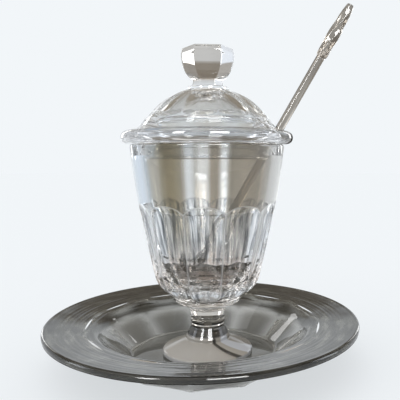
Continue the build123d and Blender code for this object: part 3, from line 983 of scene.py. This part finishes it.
def crystal(name, tone, wave, rings=None, centre=(0, 0), rubbed_and_glint=0.0, frost=0.0,
            milky=None, gloss=0.5):
    """Glass with a tone. One number says how white the worn edges are painted, which is also a
    painted highlight, frost how much light they scatter, and milky how much the glass itself
    does. gloss is that of the surface."""
    glass = bpy.data.materials.new(name)
    glass.use_nodes = True
    tree = glass.node_tree
    shader = tree.nodes["Principled BSDF"]
    for title, value in (("IOR", 1.545), ("Roughness", 0), ("Transmission Weight", 1),
                         ("Specular IOR Level", gloss)):
        shader.inputs[title].default_value = value
    at = off_axis(tree, centre)
    colour = tone(tree, at)
    # the worn edges are painted white, which is also a painted highlight along them
    if rubbed_and_glint:
        wear_and_glint = node(tree, "Math", node(tree, "Attribute", **wear_and_glint_mark), rubbed_and_glint, **times)
        colour = laid_over(tree, wear_and_glint, colour, "#f4f5f6")
    tree.links.new(colour, shader.inputs["Base Color"])
    if frost:
        dim = node(tree, "Math", wear_and_glint, frost, **times)
        if milky:
            dim = node(tree, "Math", dim, milky(tree, at), **larger)
        clear = node(tree, "Math", 1.0, dim, **minus)
        tree.links.new(clear, shader.inputs["Transmission Weight"])
    bump = node(tree, "Bump", Height=waves(tree, at, rings), Strength=wave, Distance=mm)
    tree.links.new(bump, shader.inputs["Normal"])
    return glass


# %% [markdown]
# ## Tones of the saucer
# The real brim mirrors a dark room, broken up by the rings of the turning. Here that dark
# is a painted reflection on the brim, mottled in rings, with spots of 3 mm. The well is
# smoky, and the petals ground in its back grow clearer outwards. To mirror the pale room
# here would wash all this out, so this piece has less gloss than glass has.

# %% Tones of the saucer
spots_apart = 3.03
spots_drawn_out = 0.012          # a radian of the brim counts as this many metres


def saucer_tone(tree, at):
    drawn_out = node(tree, "Math", at["azimuth"], spots_drawn_out, **times)
    turned = node(tree, "CombineXYZ", at["distance"], drawn_out)
    mottle = node(tree, "TexNoise", Vector=turned, Scale=1 / (spots_apart * mm), Detail=2.0)
    # a painted reflection of a dark room on the brim, mottled in rings
    brim_painted_reflection = node(tree, "ValToRGB", mottle,
                stops=[(0.35, "#12110f"), (0.5, "#262520"), (0.65, "#504f47")])
    outwards = node(tree, "MapRange", at["distance"], 36 * mm, 49 * mm)
    petal = node(tree, "ValToRGB", outwards,
                 stops=[(0.0, "#5d5c57"), (0.55, "#7c7a74"), (1.0, "#d9d7d0")])
    cut = node(tree, "Attribute", **cut_mark)
    well = laid_over(tree, cut, drifting(tree, at, "#5f5e59", "#817f79", 33.3), petal)
    inside = node(tree, "MapRange", at["distance"], 44 * mm, 49 * mm, 1.0, 0.0)
    return laid_over(tree, node(tree, "Math", cut, inside, **larger), brim_painted_reflection, well)


# %% [markdown]
# ## Tones of the bowl
# On the plain band the real pot mirrors its room as upright bars, some brown and some
# white. Here they are painted reflections in the glass's tone, at their places round the
# pot, and a slow noise makes them waver. The flats below have finer painted streaks of
# reflection, about 2 mm apart, from dark to clear. The thick bottom is clear, with a trace
# of pink.

# %% Tones of the bowl
waver_apart = 40.0
waver = 0.012                    # share of a turn by which the streaks waver
painted_streaks_in_turn = 95             # fine painted streaks of reflection in the flats
band_painted_reflections = (                 # painted reflections of the room: degrees to the right of the front, and a tone
    (-90, "#d3dde8"), (-52, "#d9e2ec"), (-44, "#c0bfba"), (-33, "#bdb9ad"), (-29, "#7d7156"),
    (-20, "#958a70"), (-14, "#a39b8d"), (-11, "#f4f6f8"), (-7, "#f0f2f4"), (-4, "#c6c4be"),
    (-1, "#fafafa"), (4, "#f6f7f8"), (7, "#b3aa9c"), (12, "#a79d8f"), (14.5, "#fafafa"),
    (18, "#f6f7f8"), (21, "#9c9384"), (32, "#a19788"), (50, "#a39b8f"), (62, "#bdbcb9"),
    (95, "#e9e8e5"), (125, "#d6d2ca"), (150, "#eeeeec"), (185, "#dedad3"), (215, "#f0f0ef"),
    (262, "#dcd8d0"))


def round_the_pot(tree, turn, places, shift=0.0):
    """Painted reflections at their degrees round the pot, where a turn starts at the left."""
    stops = [((90 + degrees) / 360 - shift, code) for degrees, code in places]
    return node(tree, "ValToRGB", turn, stops=stops, runs="LINEAR")


def wavering_turn(tree, at):
    """The share of a turn at which a point lies, give or take a slow wavering."""
    turn = node(tree, "MapRange", at["azimuth"], -math.pi, math.pi)
    noise = node(tree, "TexNoise", Vector=at["place"], Scale=1 / (waver_apart * mm), Detail=2.0)
    turn = node(tree, "Math", noise, waver, turn, **times_plus)
    return node(tree, "Math", turn, waver / 2, **minus)


def bowl_tone(tree, at, turn):
    plain = drifting(tree, at, "#c6c1ba", "#dcd8d3")
    # painted reflections of the room on the plain band
    painted_reflections = round_the_pot(tree, turn, band_painted_reflections)
    arches = (foot_z + bowl_arch_h) * mm
    band = laid_over(tree, at["height"], plain, painted_reflections, arches - 20 * mm, arches - 4 * mm)
    upright = node(tree, "CombineXYZ", turn, node(tree, "Math", at["height"], 0.6, **times))
    # finer painted streaks of reflection on the flats, from dark to clear
    fine = node(tree, "TexNoise", Vector=upright, Scale=painted_streaks_in_turn, Detail=3.0)
    flats = node(tree, "ValToRGB", fine,
                 stops=[(0.37, "#3f4348"), (0.47, "#a9adb1"), (0.53, "#d4d7da"), (0.61, "#fcfdfe")])
    bowl = laid_over(tree, node(tree, "Attribute", **cut_mark), band, flats)
    bottom = within(tree, at["height"], (34, 37), (42, 50))
    return laid_over(tree, bottom, bowl, drifting(tree, at, "#e6dad2", "#ffffff", 8.33))


# %% [markdown]
# ## Tones of the foot
# The real foot looks like a smooth grey-brown dome, because it mirrors the saucer that it
# stands in, with one dark curved band and one pale patch at its right. Here these are
# painted reflections, and its rim has a painted highlight. Quite clear glass would show
# only the tangle of its own inside, so the foot scatters 0.7 of its light.

# %% Tones of the foot
foot_rim_highlight = ((foot_z + 1.6) * mm, (foot_z + 2.2) * mm)      # a painted highlight makes its rim white below this
foot_top = ((foot_z + 8.2) * mm, (foot_z + 9.2) * mm)      # and the stem is clear above this
foot_scatters = 0.7
curl = 7.0                       # the painted reflections on the foot curl by this many turns a metre
curl_home = 0.1                  # and have curled by this much where their degrees are true
# painted reflections on the foot: degrees to the right of the front, and a tone
foot_painted_reflections = (
    (-50, "#dcd8d1"), (20, "#d6d0c7"), (27, "#ccc4b8"), (30, "#4c4945"), (36, "#5a5650"),
    (39, "#d8d1c6"), (50, "#cfc8bc"), (53, "#f6f9ff"), (76, "#f6f9ff"), (80, "#b9b2a8"),
    (150, "#c3bcb1"))


def foot_milky(tree, at):
    return node(tree, "MapRange", at["height"], *foot_top, foot_scatters, 0.0)


def pot_tone(tree, at):
    turn = wavering_turn(tree, at)
    # painted reflections on the foot, curled with distance, and a painted highlight along its rim
    bent = node(tree, "Math", at["distance"], -curl, turn, **times_plus)
    foot = round_the_pot(tree, bent, foot_painted_reflections, curl_home)
    foot = laid_over(tree, at["height"], "#ffffff", foot, *foot_rim_highlight)
    return laid_over(tree, at["height"], foot, bowl_tone(tree, at, turn), *foot_top)


# %% [markdown]
# ## Tones of the lid
# The dome is the clearest glass of all, a shade greyer on its flats. The bead is deeper
# in tone, and the thick knob is deeper still, but for the faces at its right, which are
# pale with a painted reflection of the window there. The short bit of the bead behind the
# notch is painted dark, as painted shade.

# %% Tones of the lid
def lid_tone(tree, at):
    blank, flats, bead, knob, knob_painted_window = (drifting(tree, at, *codes) for codes in (
        ("#dfe0e0", "#f0f2f4"), ("#cfcdc8", "#e4e4e3"), ("#a9abae", "#c2c4c7"),
        ("#938b80", "#aba398"), ("#f0f3fa", "#ffffff")))
    dome = laid_over(tree, node(tree, "Attribute", **cut_mark), blank, flats)
    dome = laid_over(tree, at["distance"], dome, bead, 32.5 * mm, 34.5 * mm)
    # the faces at the knob's right are pale: a painted reflection of the window
    first_painted_window, all_painted_window = math.radians(-57), math.radians(-54)
    knob = laid_over(tree, at["azimuth"], knob, knob_painted_window, first_painted_window, all_painted_window)
    crown = (flange_z + crown_h) * mm
    tone = laid_over(tree, at["height"], dome, knob, crown, crown + 3 * mm)
    # the bead behind the notch is painted dark: painted shade
    aside = node(tree, "Math", at["azimuth"], operation="ABSOLUTE")
    behind = node(tree, "MapRange", aside, math.radians(24), math.radians(27), 1.0, 0.0)
    out = node(tree, "MapRange", at["distance"], 33.5 * mm, 34.5 * mm)
    return laid_over(tree, node(tree, "Math", out, behind, **times), tone, "#3f3c39")


# %% [markdown]
# ## Tones of the spoon
# The rod is darker above the pot, with a painted highlight down its outer side and painted
# shade down its inner side, as a thick glass rod shows a bright and a dark wall. The thin
# scoop is clear.

# %% Tones of the spoon
def spoon_tone(tree, at):
    darker_tone = drifting(tree, at, "#857e76", "#9d968c", 16.67)
    rim = pot_high[2] * mm
    rod = laid_over(tree, at["height"], "#d3cfc9", darker_tone, rim - 2 * mm, rim + 4 * mm)
    # a painted highlight down the outer side and painted shade down the inner side
    for side, code in ((lit_mark, "#ffffff"), (shaded_mark, "#2e2b28")):
        rod = laid_over(tree, node(tree, "Attribute", **side), rod, code)
    scoop = drifting(tree, at, "#f4f4f4", "#ffffff", 16.67)
    return laid_over(tree, at["height"], scoop, rod, 56 * mm, 64 * mm)


# %% Each piece gets its glass
saucer_rings = (0.9, 3.0, 12, 1000)      # strength, how far apart, and from and to which height
pot_rings = (6.0, 1.1, 34, 50)
finishes = {
    saucer: crystal("crystal of the saucer", saucer_tone, 0.22, saucer_rings,
                    rubbed_and_glint=1.0, gloss=0.1),
    pot: crystal("crystal of the pot", pot_tone, 0.1, pot_rings, pot_axis,
                 rubbed_and_glint=0.8, frost=0.5, milky=foot_milky),
    lid: crystal("crystal of the lid", lid_tone, 0.1, centre=pot_axis, rubbed_and_glint=0.25, frost=0.5),
    spoon: crystal("crystal of the spoon", spoon_tone, 0.05),
}
for piece, glass in finishes.items():
    piece.data.materials.clear()
    piece.data.materials.append(glass)
    print(piece.name, "is", glass.name)

# %% [markdown]
# ## Floor and room
# Glass has no look of its own, it shows what is round it. The room is pale all round, and
# the floor has the same tone as the wall behind, so that no line shows where they meet.
# Above the camera's view begins a grey-brown ceiling, which the upper faces mirror.
#
# A floor that is only lit would be grey. This one has 0.7 of its tone as light of its own,
# for rays that look at it, and 0.3 as paint, which takes the shadow. In the same way the
# room is pale for rays that look, and white and weaker as a light.

# %% Floor and room
pale, ceiling = "#f2f6f9", "#a49c90"
ceiling_start, ceiling_end = 0.31, 0.40  # sines of the angle above the horizon
own_light, soft_light = 0.7, 0.72


def seen(tree):
    """1 for rays that look, straight or through glass or by reflection, and 0 for light."""
    path = node(tree, "LightPath").node.outputs
    looks = node(tree, "Math", path["Is Camera Ray"], path["Is Glossy Ray"], **larger)
    return node(tree, "Math", looks, path["Is Transmission Ray"], **larger)


nothing_selected()
bpy.ops.mesh.primitive_circle_add(
    vertices=96, radius=4, fill_type="NGON", location=(0, 0, -0.2 * mm))
floor = bpy.context.object
floor.name = "floor"
paint = bpy.data.materials.new("pale matt floor")
paint.use_nodes = True
tree = paint.node_tree
shader = tree.nodes["Principled BSDF"]
matt = [(1 - own_light) * part for part in linear(pale)[:3]] + [1]
for title, value in (("Base Color", matt), ("Roughness", 1), ("Specular IOR Level", 0),
                     ("Emission Color", linear(pale))):
    shader.inputs[title].default_value = value
glow = node(tree, "Math", seen(tree), own_light, **times)
tree.links.new(glow, shader.inputs["Emission Strength"])
floor.data.materials.append(paint)
floor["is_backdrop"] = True

world = bpy.data.worlds.new("studio")
bpy.context.scene.world = world
world.use_nodes = True
tree = world.node_tree
backdrop = tree.nodes["Background"]
up = node(tree, "SeparateXYZ", node(tree, "TexCoord", out="Generated"), out="Z")
room = laid_over(tree, up, pale, ceiling, ceiling_start, ceiling_end)
tree.links.new(room, backdrop.inputs["Color"])
soft = node(tree, "Background", "#ffffff", soft_light)
choice = node(tree, "MixShader", seen(tree), soft, backdrop.outputs[0])
tree.links.new(choice, tree.nodes["World Output"].inputs["Surface"])
bpy.context.scene.view_settings.view_transform = "Standard"
print("room is pale up to", round(math.degrees(math.asin(ceiling_start))), "degrees")

# %% [markdown]
# ## Windows
# What makes glass glitter is small and bright. Two windows stand high behind the camera,
# one on each side, and two behind the pot, which light up its edges. They light no matt
# surface, or the floor would turn white. A wide, weak sun gives the soft shadow there.

# %% Windows
aim_h = 80 * mm                  # the windows look at the middle of the pot
windows = {
    # azimuth and elevation in degrees, distance, width, height in metres, radiance, colour;
    # azimuth 0 is behind the camera and 90 is at the right
    "window right of the camera": (20, 22, 0.95, 0.40, 0.50, 17, "#ffffff"),
    "window left of the camera": (-32, 22, 0.95, 0.22, 0.50, 17, "#ffffff"),
    "window on the left": (-83, 12, 1.4, 0.45, 0.9, 3, "#eef4ff"),
    "window on the right": (95, 12, 1.4, 0.45, 0.9, 3, "#eef4ff"),
    "window behind on the left": (218, 10, 2.0, 0.30, 1.2, 3, "#ffffff"),
    "window behind on the right": (146, 10, 2.0, 0.30, 1.2, 3, "#ffffff"),
}
for name, (azimuth, elevation, distance, wide, tall, radiance, code) in windows.items():
    lamp = bpy.data.lights.new(name, "AREA")
    lamp.shape, lamp.size, lamp.size_y = "RECTANGLE", wide, tall
    lamp.energy = radiance * math.pi * wide * tall
    lamp.color = linear(code)[:3]
    pane = bpy.data.objects.new(name, lamp)
    pane.visible_diffuse = False
    a, e = math.radians(azimuth), math.radians(elevation)
    level = distance * math.cos(e)
    pane.location = (level * math.sin(a), -level * math.cos(a), aim_h + distance * math.sin(e))
    pane.rotation_euler = (math.radians(90) - e, 0, a)
    bpy.context.collection.objects.link(pane)
    print(name, "at", [round(v, 2) for v in pane.location])

daylight = bpy.data.lights.new("soft daylight", "SUN")
daylight.angle, daylight.energy = math.radians(70), 0.95
sun = bpy.data.objects.new("soft daylight", daylight)
sun.rotation_euler = (math.radians(25), math.radians(-20), 0)
bpy.context.collection.objects.link(sun)

# %% [markdown]
# ## Light paths
# A ray passes many walls before it leaves cut glass, and turns black when it runs out of
# bounces, so the limits are high. Caustics, the bright curls that glass throws, would
# only be noise, and are off.

# %% Light paths
cycles = bpy.context.scene.cycles
cycles.max_bounces, cycles.transmission_bounces, cycles.glossy_bounces = 96, 96, 32
cycles.caustics_reflective = cycles.caustics_refractive = False
cycles.sample_clamp_indirect = 8
print("light paths of up to", cycles.max_bounces, "bounces")

# %% Sizes, and the end
low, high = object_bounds()
